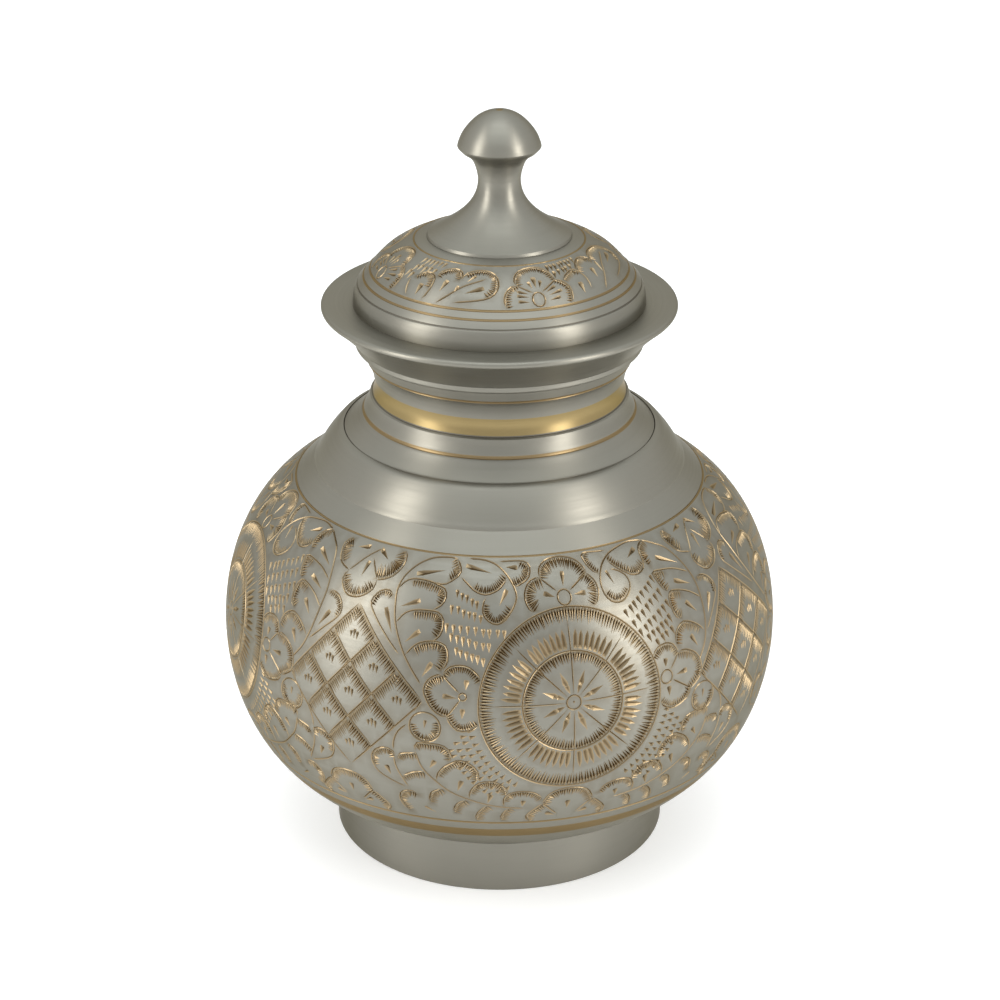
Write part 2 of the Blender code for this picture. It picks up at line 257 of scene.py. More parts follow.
def darken_by(material, attribute, most, colour):
    """Mixes a metal's colour towards another one where a value kept on the mesh is high."""
    tree = material.node_tree
    base = tree.nodes["Principled BSDF"].inputs["Base Color"]
    mark = add_node(tree, "ShaderNodeAttribute", {}, attribute_name=attribute).outputs["Fac"]
    amount = map_range(tree, mark, 0, 1, 0, most)
    tree.links.new(mix(tree, amount, base.links[0].from_socket, (*colour, 1)), base)


pewter = metal("satin_pewter", (0.226, 0.217, 0.185), (0.252, 0.242, 0.208), 0.41, 0.000004)
cut_brass = metal("chiselled_brass", (0.25, 0.19, 0.112), (0.35, 0.268, 0.163), 0.32, 0.0, stretch=0.0)
band_brass = metal("brushed_brass", (0.255, 0.192, 0.088), (0.31, 0.237, 0.114), 0.36, 0.00001, 1600.0)
inside = metal("dull_inside", (0.20, 0.17, 0.12), (0.25, 0.215, 0.155), 0.55, 0.00001)
# A dark metal for painted shade in a few small steps of the turned profiles.
step_shade = metal("painted_shade_in_the_steps", (0.13, 0.12, 0.098), (0.17, 0.157, 0.13), 0.45, 0.0)
line_brass = metal("brass_in_the_lines", (0.19, 0.138, 0.072), (0.25, 0.183, 0.098), 0.36, 0.0)

# Painted shade: the brass is darker towards the bottom of each stroke, and the pewter beside
# the strokes is shaded brown, most between the teeth of a comb.
darken_by(cut_brass, "cut_depth", 0.36, (0.16, 0.118, 0.068))
darken_by(pewter, "stroke_shade", 1.1, (0.135, 0.106, 0.066))
METALS = [pewter, cut_brass, band_brass, inside, step_shade, line_brass]
PEWTER, CUT, BAND, INSIDE, STEP_SHADE, LINES = range(len(METALS))
print("metals:", [made.name for made in METALS])

# %% [markdown]
# ## Curves for turned profiles
# A turned piece is drawn as half of its section, a list of (radius, height) points, and spun.
# Three kinds of curve are enough: the bowl's superellipse, circle arcs for rolled edges, and a
# smooth line through a few measured points for the neck, the dome and the stem.

# %% The profile helpers
SPIN_STEPS = 144
BOWL_RADIUS = 0.0990
BOWL_MID = 0.0818
BOWL_HALF = 0.0658
BOWL_ROUNDNESS = 3.86


def bowl_point(angle):
    """A point of the bowl's outer side; the angle is 0 at its widest ring."""
    return (BOWL_RADIUS * math.cos(angle) ** (2 / BOWL_ROUNDNESS),
            BOWL_MID + BOWL_HALF * math.sin(angle))


def arc(centre, radius, start, end, steps):
    """Points on a circle's arc, from one angle to another in degrees."""
    turns = [math.radians(start + (end - start) * step / steps) for step in range(steps + 1)]
    return [(centre[0] + radius * math.cos(t), centre[1] + radius * math.sin(t)) for t in turns]


def through(points, steps, closed=False):
    """A smooth line through points (Catmull-Rom), with a number of steps between each two."""
    points = [np.array(point, float) for point in points]
    count = len(points)
    line = []
    for index in range(count if closed else count - 1):
        before, here = points[index - 1 if index or closed else 0], points[index]
        after = points[(index + 1) % count]
        last = points[(index + 2) % count] if index + 2 < count or closed else after
        for step in range(steps):
            t = step / steps
            line.append(0.5 * (2 * here + (after - before) * t
                               + (2 * before - 5 * here + 4 * after - last) * t * t
                               + (3 * here - before - 3 * after + last) * t ** 3))
    if not closed:
        line.append(points[-1])
    return [tuple(float(value) for value in point) for point in line]


# %% Spin a profile
MERGE_DISTANCE = 0.000002
SHARP_EDGE = math.radians(30)


def spin_run(shape, profile, material, steps=SPIN_STEPS):
    """Spins one run of a profile round the axis, gives it a material and adds it to a shape."""
    turned = bmesh.new()
    corners = [turned.verts.new((radius, 0, height)) for radius, height in profile]
    lines = [turned.edges.new(pair) for pair in zip(corners, corners[1:])]
    bmesh.ops.spin(turned, geom=corners + lines, cent=(0, 0, 0), axis=(0, 0, 1),
                   angle=math.tau, steps=steps, use_merge=True)
    for face in turned.faces:
        face.material_index = material
        face.smooth = True
    carried = bpy.data.meshes.new("run")
    turned.to_mesh(carried)
    turned.free()
    shape.from_mesh(carried)
    bpy.data.meshes.remove(carried)


def finish_piece(shape, name, materials, node):
    """Closes a turned shape, makes it an object and puts it in place of its CAD node."""
    bmesh.ops.remove_doubles(shape, verts=shape.verts, dist=MERGE_DISTANCE)
    bmesh.ops.recalc_face_normals(shape, faces=shape.faces)
    for edge in shape.edges:
        if len(edge.link_faces) == 2 and edge.calc_face_angle() > SHARP_EDGE:
            edge.smooth = False
    mesh = bpy.data.meshes.new(name)
    shape.to_mesh(mesh)
    shape.free()
    for material in materials:
        mesh.materials.append(material)
    piece = bpy.data.objects.new(name, mesh)
    bpy.context.scene.collection.objects.link(piece)
    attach(piece, "root")
    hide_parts(node)
    return piece


# %% [markdown]
# ## The bowl as a flat sheet
# Ornament is easier to draw flat. The bowl's side is unrolled: x runs round it and y up it from its
# widest ring, both in millimetres, and one quarter of the turn is one repeat of the pattern.

# %% Unroll a turned side
MM = 0.001
REPEATS = 4
PERIOD = math.tau * BOWL_RADIUS / MM / REPEATS
DEGREES_BELOW, DEGREES_ABOVE = 67.5, 57.7
SIDE_STEPS = 1500


def unrolled(profile, start):
    """Makes the function that finds a profile's places from the distance up it, in millimetres."""
    profile = np.array(profile) / MM
    travel = np.concatenate([[0], np.cumsum(np.hypot(*np.diff(profile, axis=0).T))]) + start
    ahead = np.gradient(profile, travel, axis=0)

    def side(y):
        """Radius, height, and how far the side's normal leans outward and upward."""
        radius, height, run_out, run_up = (
            np.interp(y, travel, table[:, i]) for table in (profile, ahead) for i in (0, 1))
        size = np.hypot(run_out, run_up)
        return radius, height, run_up / size, -run_out / size

    return side


lower = [bowl_point(math.radians(DEGREES_BELOW) * (step / SIDE_STEPS - 1))
         for step in range(SIDE_STEPS)]
upper = [bowl_point(math.radians(DEGREES_ABOVE) * step / SIDE_STEPS)
         for step in range(SIDE_STEPS + 1)]
lower_length = np.hypot(*np.diff(np.array(lower + upper[:1]) / MM, axis=0).T).sum()
bowl_side = unrolled(lower + upper, -lower_length)
print("the bowl's side starts at", round(float(-lower_length), 1), "mm")

# %% [markdown]
# ## The chisel's vocabulary
# Everything on this urn is made of three strokes. A line is one long V groove. A wedge is a
# single push of the chisel, which goes in wide and deep and runs out to a point. A comb is a row of
# short teeth set square to an outline. Each stroke is a spine with a half-width and a depth at
# each of its points, so one function can tell how deep any spot of the sheet lies. Its last value
# says how much the metal beside it darkens, which is most between the teeth of a comb.

# %% Lines, wedges and combs
hand = random.Random(11)
LINE_HALF = 0.32
LINE_DEPTH = 0.24
COMB_PITCH = 0.96
TOOTH_HALF = 0.43
LINE_SHADE, WEDGE_SHADE, RAY_SHADE, COMB_SHADE = 0.3, 0.1, 0.25, 1.0


def spaced(points, spacing, closed=False):
    """A smooth path through points, with its corners evenly spaced."""
    fine = np.array(through(points, 12, closed))
    if closed:
        fine = np.vstack([fine, fine[:1]])
    lengths = np.concatenate([[0], np.cumsum(np.hypot(*np.diff(fine, axis=0).T))])
    count = max(2, round(lengths[-1] / spacing))
    at = np.linspace(0, lengths[-1], count + 1)
    path = np.column_stack([np.interp(at, lengths, fine[:, i]) for i in (0, 1)])
    return path[:-1] if closed else path


def line(points, half=LINE_HALF, depth=LINE_DEPTH, closed=False, spacing=1.6, straight=False):
    """One V groove along a path. Open ends run out to a point."""
    path = np.array(points, float) if straight else spaced(points, spacing, closed)
    halves = np.full(len(path), half)
    depths = np.full(len(path), depth)
    if not closed:
        halves[[0, -1]] = 0
        depths[[0, -1]] = 0
    return [(path, halves, depths, closed, LINE_SHADE)]


def wedge(head, tip, half=0.6, depth=0.46):
    """One chisel stroke, wide and deep near its head, running out at its tip."""
    head, tip = np.array(head, float), np.array(tip, float)
    path = np.array([head, head + (tip - head) * 0.22, tip])
    return [(path, np.array([half * 0.8, half, 0]), np.array([0, depth, 0]), False, WEDGE_SHADE)]


def comb(points, length, side=1, pitch=COMB_PITCH, half=TOOTH_HALF, depth=0.40, closed=False,
         lean=0.0):
    """Short teeth, pointed at both ends, square to a path: to its left (side 1) or right (-1)."""
    path = spaced(points, pitch, closed)
    ahead = np.roll(path, -1, axis=0) if closed else np.vstack([path[1:], path[-1:]])
    behind = np.roll(path, 1, axis=0) if closed else np.vstack([path[:1], path[:-1]])
    strokes = []
    for spot, along in zip(path, ahead - behind):
        along = along / np.hypot(*along)
        inward = np.array([-along[1], along[0]]) * side + along * (lean + hand.uniform(-0.08, 0.08))
        inward /= np.hypot(*inward)
        reach = length * hand.uniform(1.1, 1.45)
        start = LINE_HALF + 0.03
        tooth = np.array([spot + inward * away for away in (start, start + 0.2 * reach, reach)])
        strokes.append((tooth, np.array([0, half, 0]), np.array([0, depth, 0]), False, COMB_SHADE))
    return strokes


def moved(strokes, x, y=0.0):
    """The same strokes, moved over the sheet."""
    return [(path + (x, y), *rest) for path, *rest in strokes]


def mirrored(strokes, axis):
    """The same strokes, mirrored about an upright line of the sheet."""
    return [(path * (-1, 1) + (2 * axis, 0), *rest) for path, *rest in strokes]


print("a line is", 2 * LINE_HALF, "mm wide and a tooth", 2 * TOOTH_HALF)

# %% [markdown]
# ## The medallion
# The widest form on the bowl is a wheel: a ring with a comb inside it, a ring of long wedges like
# sun rays, a second combed ring, and eight spokes with a leaf-shaped stroke between each two.

# %% Cut the medallion
MEDALLION = (25.23, 12.8)
RIM, INNER_RING, HUB = 32.3, 17.5, 2.5


def polar(centre, radius, degrees):
    """A point round a centre; 0 degrees is straight up and the angle runs clockwise."""
    turn = math.radians(degrees)
    return centre[0] + radius * math.sin(turn), centre[1] + radius * math.cos(turn)


def circle(centre, radius, count=24):
    """Points round a centre."""
    return [polar(centre, radius, 360 * step / count) for step in range(count)]


def broad_stroke(path):
    """A long stroke that stays broad for most of its way."""
    halves, depths = np.array([0.66, 0.92, 0.74, 0]), np.array([0, 0.5, 0.4, 0])
    return [(np.array(path), halves, depths, False, RAY_SHADE)]


def medallion(centre):
    """Every stroke of one medallion."""
    strokes = line(circle(centre, RIM), closed=True, spacing=2.2)
    strokes += comb(circle(centre, RIM), 4.2, -1, 1.12, 0.5, 0.46, closed=True)
    strokes += line(circle(centre, INNER_RING), closed=True, spacing=2.0)
    strokes += comb(circle(centre, INNER_RING), 3.2, -1, 1.02, 0.44, 0.42, closed=True)
    strokes += line(circle(centre, HUB, 12), closed=True, spacing=1.0)
    strokes += wedge((centre[0], centre[1] + 0.5), (centre[0], centre[1] - 0.5), 0.4, 0.3)
    for spoke in range(8):
        turn = 45 * spoke
        ends = [polar(centre, reach, turn) for reach in (2.9, 16, 28)]
        strokes += line(ends, 0.24, 0.2, spacing=4)
        strokes += wedge(polar(centre, 6.2, turn + 23), polar(centre, 11.6, turn + 22), 1.0, 0.5)
        strokes += wedge(polar(centre, 6.3, turn + 23), polar(centre, 3.2, turn + 24), 0.85, 0.45)
        for ray in range(7):
            angle = turn + 45 * (ray + 1) / 8 + hand.uniform(-0.5, 0.5)
            tip = 25.0 + hand.uniform(-0.5, 0.4)
            strokes += broad_stroke([polar(centre, reach, angle) for reach in (18.2, 19.6, 22.8, tip)])
    return strokes


cuts = medallion(MEDALLION)
print("medallion:", len(cuts), "strokes")

# %% [markdown]
# ## The lattice
# Between two medallions hangs a net of nine diamonds. Each diamond has a comb inside its
# two upper sides and three small ticks in its middle. Its corners were measured, so the net is
# laid between them by mixing the four corners, and leans a little as the hand-cut one does.

# %% Cut the lattice
NET_TOP, NET_RIGHT = (-55.0, 41.8), (-26.0, 13.0)
NET_BOTTOM, NET_LEFT = (-53.6, -16.8), (-79.8, 11.2)
COMBED_FROM, COMBED_TO = 0.045, 0.32


def net_point(across, down):
    """A point of the net, 0 to 1 from the top corner towards the right and the left corner."""
    corners = [np.array(corner) for corner in (NET_TOP, NET_RIGHT, NET_LEFT, NET_BOTTOM)]
    return (corners[0] * (1 - across) * (1 - down) + corners[1] * across * (1 - down)
            + corners[2] * (1 - across) * down + corners[3] * across * down)


def lattice():
    """Every stroke of one net."""
    strokes = []
    for share in (0, 1 / 3, 2 / 3, 1):
        steps = [step / 9 for step in range(10)]
        strokes += line([net_point(share, step) for step in steps], straight=True)
        strokes += line([net_point(step, share) for step in steps], straight=True)
    for row in range(3):
        for column in range(3):
            across, down = column / 3, row / 3
            shares = (COMBED_FROM, 0.16, COMBED_TO)
            right_edge = [net_point(across + share, down) for share in shares]
            left_edge = [net_point(across, down + share) for share in shares]
            strokes += comb(right_edge, 3.9, -1, 0.93, 0.41, 0.38, lean=0.2)
            strokes += comb(left_edge, 3.5, 1, 0.93, 0.41, 0.38, lean=0.2)
            middle = net_point((column + 0.5) / 3, (row + 0.5) / 3)
            for x, y, size in ((-1.1, 0.2, 2.2), (0.2, 0.9, 3.2), (1.5, 0.3, 3.0)):
                strokes += wedge(middle + (x, y), middle + (x + 0.1, y - size), 0.62, 0.42)
    return strokes


cuts += lattice()
print("with the lattice:", len(cuts), "strokes")

# %% [markdown]
# ## Petals and leaves
# Flowers and leaves are all petals: an outline, a comb inside its rounded end and one wedge
# for its rib. A petal is therefore a list of outline points, which of them carry the comb, and the
# two ends of its rib. The points were read off the photograph's own outlines, a few to each curve.

# %% The petal
def petal(outline, comb_from, comb_to, side, rib, length):
    """A petal's outline, the comb inside part of it, and its rib, if any, from head to tip."""
    strokes = line(outline, spacing=1.8)
    strokes += comb(outline[comb_from:comb_to + 1], length, side)
    if rib:
        strokes += wedge(*rib, 0.95, 0.5)
    return strokes


def petals(*given):
    """The strokes of several petals, each given as a petal's values."""
    return [stroke for values in given for stroke in petal(*values)]


# %% The half flower that hangs over the lattice
def hanging_flower():
    """Three petals and their dividing lines."""
    strokes = petals(
        ([(-72.8, 62.6), (-74.8, 59.7), (-73.4, 55.8), (-70.9, 53), (-65.3, 51.1)], 0, 3, 1,
         ((-60.9, 61.3), (-67, 59.9)), 4),
        ([(-65.3, 51.1), (-66.6, 48.6), (-65.3, 45.8), (-62, 43.2), (-57.6, 43.2), (-54.2, 44.7),
         (-51.4, 47.4), (-51.2, 50.8)], 1, 6, 1, ((-57.8, 56.3), (-58.7, 50.2)), 3.2),
        ([(-51.5, 50.5), (-48, 51.5), (-44.5, 53.5), (-42, 57), (-41.8, 60.5), (-42.8, 62.8)], 0, 5, 1,
         ((-55.3, 61.8), (-49.8, 58.3)), 4.4))
    strokes += line([(-65.3, 51.1), (-59.8, 57.8), (-55, 61.8)])
    strokes += line([(-51.3, 50.9), (-56.6, 57.6)])
    return strokes


cuts += hanging_flower()

# %% The feather leaves at both sides of the lattice
def right_feather():
    """The leaf between the lattice and the medallion."""
    strokes = line([(-27, 18.8), (-33.8, 28), (-38.8, 37.8), (-40.5, 44.5), (-41.1, 49.2), (-39.8, 54),
        (-35.5, 59), (-29.5, 62.2), (-22.5, 63.1), (-18.5, 62.7)], 0.36)
    strokes += petals(
        ([(-18.5, 62.7), (-16.3, 59), (-17, 56.5), (-19.5, 54.5), (-22.5, 53), (-27, 53.3)], 0, 3, -1,
         ((-35, 55.5), (-23, 58)), 3),
        ([(-41.1, 49.2), (-38.5, 52.4), (-35, 53.7), (-29, 53.6), (-25, 52.6), (-22, 51.6), (-20.8, 49),
         (-22, 46), (-25.5, 43.8)], 2, 7, -1, ((-30.8, 46.5), (-38.3, 43.5)), 2.8),
        ([(-38.8, 37.8), (-36, 41.5), (-32, 43.2), (-27, 43.6), (-23, 43.3), (-20.8, 41), (-20.8, 37.5),
         (-22, 35), (-24.3, 33.6)], 2, 7, -1, ((-29, 36.5), (-34.3, 32)), 2.8),
        ([(-33.5, 27.8), (-30.5, 31.4), (-27.5, 33), (-23, 33.7), (-19, 32.4), (-18, 29), (-18.3, 26.5),
         (-19.8, 24.2)], 1, 7, -1, ((-23.5, 26.5), (-26.8, 21.3)), 2.8),
        ([(-35.8, 27.8), (-42, 33.5), (-48.5, 40), (-50.5, 43), (-49.3, 46), (-47, 47.8), (-44.5, 48.2),
         (-42.6, 47.5)], 3, 7, -1, ((-43.8, 42.3), (-39.5, 34)), 2))
    return strokes


def left_feather():
    """The leaf on the lattice's other side."""
    strokes = line([(69.4, 62.1), (74.5, 59.3), (78.6, 56.4), (81.6, 51.2), (83.4, 46), (84.2, 41.6),
        (83.9, 36.4), (82.7, 29), (80.1, 21.6), (75.6, 15.6)], 0.36)
    strokes += petals(
        ([(69.4, 62.1), (65.8, 60.2), (64.4, 56.8), (65.2, 53)], 0, 3, 1, ((70.9, 54.6), (80.3, 49.9)),
         3),
        ([(83, 45.6), (76.9, 48.6), (70.6, 49.9), (65.8, 50), (66.3, 46.8), (68.1, 42.6)], 2, 5, 1,
         ((74.1, 44.9), (81.6, 41.6)), 2.8),
        ([(83.9, 35.9), (79.4, 39.3), (74.4, 41.4), (70.2, 41.9), (68.4, 39), (68.8, 34.3), (70.6, 32.1)],
         2, 6, 1, ((75.6, 36.8), (79.7, 32.1)), 2.8),
        ([(80.9, 24.9), (78.8, 27.4), (75, 29.9), (71.3, 30.8), (67.7, 28.6), (66.3, 24.9)], 1, 5, 1,
         ((73.8, 25.5), (76.3, 20.8)), 2.6),
        ([(82.4, 24.7), (87.4, 29.7), (92.9, 35.2), (93.5, 38.6), (90.7, 41.9), (86.6, 43)], 2, 5, 1,
         ((88.8, 36.1), (84.9, 29.7)), 2))
    return strokes


cuts += right_feather() + left_feather()
print("with the flower and the feather leaves:", len(cuts), "strokes")

# %% The flower over the medallion
def upper_flower():
    """Three petals round an oval eye, with the medallion's ring for a base."""
    strokes = line(circle((25.5, 48.3), 2.7, 12), closed=True, spacing=1.1)
    strokes += petals(
        ([(16.4, 56.1), (17.2, 59.6), (20.6, 62.2), (25.9, 63.1), (31.3, 62.2), (35, 59.9), (37.2, 56.1)],
         0, 6, -1, ((26.6, 57.4), (25.8, 51.8)), 3.8),
        ([(12.6, 43.9), (10.9, 45.8), (9.9, 48.6), (10.3, 51.8), (12.5, 54.9), (16.4, 56.1)], 0, 5, -1,
         ((17.5, 50.2), (21.9, 48.6)), 3.6),
        ([(36.6, 55.8), (39.1, 53), (40, 49.9), (39.1, 46.6), (37.6, 44.2)], 0, 4, -1, ((34.4, 48.9),
         (29.4, 48.8)), 3.4))
    strokes += line([(16.6, 55.8), (22.9, 50.6)]) + line([(37, 55.9), (28.2, 50.4)])
    return strokes


# %% The scrolls beside that flower
def left_scroll():
    """The curling leaves between the feather leaf and the upper flower."""
    strokes = line([(-13.5, 63.2), (-7, 62.9), (-1.5, 61.2), (2.8, 57.6), (5.9, 52.8), (6.6, 48.6),
        (4, 43.9), (0, 40.7)], 0.36)
    strokes += petals(
        ([(-16, 56), (-13, 53.8), (-10, 51.5), (-6.5, 50.3), (-3.5, 50.6), (0, 52.3), (3, 55.6)], 2, 6, 1,
         ((-14.5, 60.4), (-3, 57.8)), 2.6),
        ([(-5.3, 49.3), (-6.3, 46.5), (-6, 43.5), (-4, 41.3), (-1, 40.3), (2, 41.5), (4.6, 44.6)], 1, 6,
         1, ((3, 52), (0, 46.5)), 2.4),
        ([(0, 62.3), (10, 62.4), (13.1, 60.2), (12.3, 56.3), (9.4, 54.2), (6.3, 52.9)], 1, 5, -1,
         ((7.8, 59.9), (2.5, 60.2)), 2.8))
    return strokes


def right_scroll():
    """Their counterpart on the other side of the flower."""
    strokes = line([(69.4, 62.1), (62.5, 63.2), (56.3, 62.5), (50, 60.8), (45, 57.4), (42.2, 53),
        (41.6, 49.3), (42.5, 46.1), (45, 43.9), (48.8, 43.7), (52.5, 46.1), (54.1, 49.3), (53.1, 52.4),
        (50, 54.6), (47.8, 55)], 0.36)
    strokes += comb([(42.6, 46.4), (45.0, 44.1), (48.8, 43.9), (52.4, 46.2)], 2.4, 1)
    strokes += wedge((45.6, 55.0), (47.4, 49.6), 0.7, 0.45)
    strokes += petals(
        ([(48.1, 58.4), (50, 56.1), (53.1, 53.5), (56.3, 51.5), (60, 51.2), (63.6, 53.2), (64.4, 57.4),
         (65, 59.3)], 0, 5, 1, ((63.5, 60.2), (57.8, 57.4)), 2.6),
        ([(49, 62.2), (38.3, 62.9), (37.6, 59.9), (39.1, 56.8), (41.3, 54.6)], 1, 4, 1, None, 2.2))
    return strokes


cuts += upper_flower() + left_scroll() + right_scroll()
print("with the upper flower and its scrolls:", len(cuts), "strokes")

# %% The half flowers at the medallion's sides
def side_flowers():
    """Three petals at each side of the medallion, round a small eye."""
    left, right = (-12.4, 15.8), (60.6, 14.6)
    strokes = line(circle(right, 2.4, 12), closed=True, spacing=1)
    strokes += line(circle(left, 1.3, 10), closed=True, spacing=0.8)
    strokes += petals(
        ([(-19.5, 23), (-17.5, 25.4), (-14, 26.4), (-10.5, 25.9), (-8, 24.1), (-6.3, 22.2)], 0, 5, -1,
         ((-11.1, 21.6), (-11.4, 18.2)), 2.2),
        ([(-17.8, 8.2), (-20.5, 9), (-23, 11), (-24.9, 14.1), (-25.9, 16.8), (-25, 20), (-22.5, 22.2),
         (-19.6, 22.9)], 0, 7, -1, ((-19.2, 15.7), (-14.2, 15.2)), 2.6),
        ([(-7.2, 5.6), (-9.5, 4.1), (-13.3, 3.5), (-15.8, 5.2), (-17.8, 8.2)], 0, 4, -1, ((-12.3, 11.6),
         (-12.5, 8)), 2.4))
    strokes += line([(-19.6, 22.7), (-13.4, 16.9)]) + line([(-13.2, 14.7), (-17.8, 8.3)])
    strokes += petals(
        ([(55.9, 23), (58.1, 25.2), (61.9, 26), (65, 24.9), (66.9, 21.8)], 0, 4, -1, ((60.9, 21),
         (60.6, 17.8)), 2.4),
        ([(66.9, 21.8), (70.6, 21.4), (74.4, 19.2), (76.3, 16.1), (76.6, 12.4), (75.4, 10.2), (71, 7.3)],
         0, 6, -1, ((69.6, 14.6), (64.6, 14.2)), 2.6),
        ([(71, 7.3), (68.5, 4.4), (63.5, 2.8), (60.4, 3.4), (57.5, 5.6)], 0, 4, -1, ((61.3, 11),
         (61.3, 7.4)), 2.4))
    strokes += line([(66.8, 21.6), (62.4, 16.5)]) + line([(63, 13), (70.9, 7.5)])
    return strokes


# %% The small round flowers beside the lattice
ROUND_RADIUS = 5.4


def round_flower(centre, turn):
    """A ring with a comb round one half of it and a short rib."""
    strokes = line(circle(centre, ROUND_RADIUS, 12), closed=True, spacing=1.4)
    half = [polar(centre, ROUND_RADIUS, turn + step) for step in range(-100, 101, 40)]
    strokes += comb(half, 2.3, -1, 0.95, 0.41)
    strokes += wedge((centre[0] + 0.2, centre[1] + 2.6), (centre[0] - 0.2, centre[1] - 0.6), 0.6, 0.4)
    return strokes


cuts += side_flowers() + round_flower((-25.1, 3.9), 170) + round_flower((76.6, 2.4), 190)
print("with the side flowers:", len(cuts), "strokes")

# %% [markdown]
# ## The punched grounds
# The ground beside each medallion is filled with rows of short pushes of the same chisel.
# Above, they stand upright in rows that follow the leaf; below, they point at the medallion.

# %% Fill the grounds
FAN_ROWS = 4
FAN_RADIUS = 34.4


def punched_row(start, end, count, lean):
    """A row of short upright strokes between two places."""
    strokes = []
    for step in range(count):
        share = step / (count - 1)
        x = start[0] + (end[0] - start[0]) * share + hand.uniform(-0.25, 0.25)
        y = start[1] + (end[1] - start[1]) * share + hand.uniform(-0.3, 0.3)
        size = hand.uniform(2.9, 3.7)
        strokes += wedge((x, y), (x + lean * size, y - size), 0.78, 0.48)
    return strokes


def punched_fan(first, last):
    """Rows of short strokes round the medallion between two angles, pointing at its middle."""
    strokes = []
    for row in range(FAN_ROWS):
        reach = FAN_RADIUS + 2.9 * row
        start, end = first + 2.2 * row, last - 2.6 * row
        count = round(math.radians(end - start) * reach / 2.5)
        for step in range(count + 1):
            angle = start + (end - start) * step / max(count, 1) + hand.uniform(-0.4, 0.4)
            head, tip = polar(MEDALLION, reach + 2.7, angle), polar(MEDALLION, reach, angle)
            strokes += wedge(head, tip, 0.72, 0.42)
    return strokes


for row in (((-16.8, 51.4), (-8.6, 48.4), 5), ((-18.0, 46.4), (-7.2, 43.4), 6),
            ((-19.2, 40.2), (1.8, 38.4), 9), ((-17.5, 36.6), (-3.6, 34.0), 7),
            ((-15.3, 32.4), (-5.6, 29.2), 6)):
    cuts += punched_row(*row, 0.03)
for row in (((48.3, 40.4), (64.0, 49.2), 8), ((50.6, 36.9), (64.6, 44.6), 7),
            ((52.4, 33.2), (66.6, 39.8), 7), ((55.6, 30.6), (66.0, 34.9), 6),
            ((58.6, 28.6), (65.6, 30.8), 4)):
    cuts += punched_row(*row, 0.35)
cuts += punched_fan(-147, -104) + punched_fan(106, 147)
print("with the punched grounds:", len(cuts), "strokes")

# %% [markdown]
# ## The foot of the pattern
# Under the medallion two sprays of scalloped leaves grow out of a long stem, over half rosettes
# that stand on the lowest line. Only the left spray was drawn; the right one is its mirror image.

# %% Cut the lower leaves
def spray():
    """The scalloped leaves from the round flower to the medallion's rosette."""
    strokes = line([(-28.6, -5.6), (-26.4, -12.1), (-22, -17.1), (-17, -21.5), (-10.8, -24.6),
        (-3.9, -27.1), (2.4, -28.4), (8.6, -29)], 0.32)
    strokes += petals(
        ([(-28.6, -5.6), (-28.6, -2.9), (-27, -2.1), (-23.3, -2), (-18.9, -2.4), (-16.6, -4.6),
         (-16.1, -7.4)], 1, 6, -1, ((-21.8, -8.6), (-23.8, -11.9)), 2.4),
        ([(-21.7, -17.2), (-21.1, -14), (-18.9, -10.9), (-15.8, -8.7), (-13.3, -7.6), (-9.8, -9),
         (-7.3, -12.1), (-7, -15.3)], 1, 7, -1, ((-12.9, -16.2), (-14.5, -21)), 2.4),
        ([(-10.5, -24.2), (-10.1, -20.9), (-7.6, -17.3), (-4.5, -16.1), (-0.8, -16.5), (2.2, -19.3),
         (2.9, -21.4)], 1, 6, -1, ((-2.9, -22), (-4.2, -26.4)), 2.4),
        ([(1.7, -28), (1.4, -24.6), (3.2, -21.7), (7.4, -20.6), (12, -21.5), (14.8, -24)], 1, 5, -1,
         ((8.4, -25.2), (8, -28.2)), 2.2))
    strokes += line([(-36.4, -6.5), (-36.1, -2.8), (-34.5, 1), (-31.4, 4.1)])
    strokes += petal([(-33, -21.8), (-38.3, -19.6), (-42.6, -17.1), (-44.5, -14), (-44.8, -10.9),
        (-43.3, -8.1), (-40.1, -6.4), (-37, -6.8), (-35.8, -8.8)], 3, 8, -1, ((-39.5, -13.6),
        (-38, -17.4)), 2.2)
    strokes += line([(-36.4, -9), (-35.8, -13.4), (-33.9, -17.8), (-32, -21.5)])
    for crescent in ([(-35.1, -8.8), (-33.6, -7.4), (-28.9, -6.4)],
                     [(-33.6, -16.8), (-30.1, -14.6), (-26.3, -13.6)],
                     [(-25.1, -27.1), (-23.9, -22.8), (-20.3, -20.5)],
                     [(-16.7, -31.2), (-15.1, -27.3), (-12.2, -25.2)],
                     [(-8.9, -35.0), (-7.6, -31.0), (-4.7, -27.7)],
                     [(0.2, -35.0), (1.1, -31.7), (3.1, -29.0)],
                     [(-34.5, -33.4), (-36.1, -29.0), (-35.5, -25.3), (-32.6, -23.3), (-29.6, -23.6)]):
        strokes += line(crescent, 0.3) + comb(crescent, 2.6, -1)
    strokes += wedge((-27.0, -30.4), (-23.0, -33.2), 0.6, 0.4)
    return strokes


def half_rosette(x, width):
    """Three petals that stand on the lowest line, mirrored about their middle one."""
    side = petal([(x + 1.2 * width, -36.6), (x + 1.27 * width, -33.4), (x + 1.0 * width, -29.4),
                  (x + 0.79 * width, -27.3)], 0, 3, 1,
                 ((x + 0.66 * width, -32.3), (x + 0.36 * width, -34.0)), 2.6)
    side += line([(x + 0.76 * width, -27.3), (x + 0.3 * width, -33.6)])
    top = petal([(x - 0.8 * width, -26.9), (x - 0.6 * width, -22.8), (x - 0.25 * width, -20.8),
                 (x + 0.25 * width, -20.8), (x + 0.6 * width, -22.8), (x + 0.8 * width, -26.9)],
                0, 5, -1, ((x, -26.8), (x, -30.6)), 2.8)
    return side + mirrored(side, x) + top


left_spray = spray()
cuts += left_spray + mirrored(left_spray, MEDALLION[0])
cuts += half_rosette(24.4, 11.6) + half_rosette(-55.8, 11.6)
print("the whole repeat:", len(cuts), "strokes")

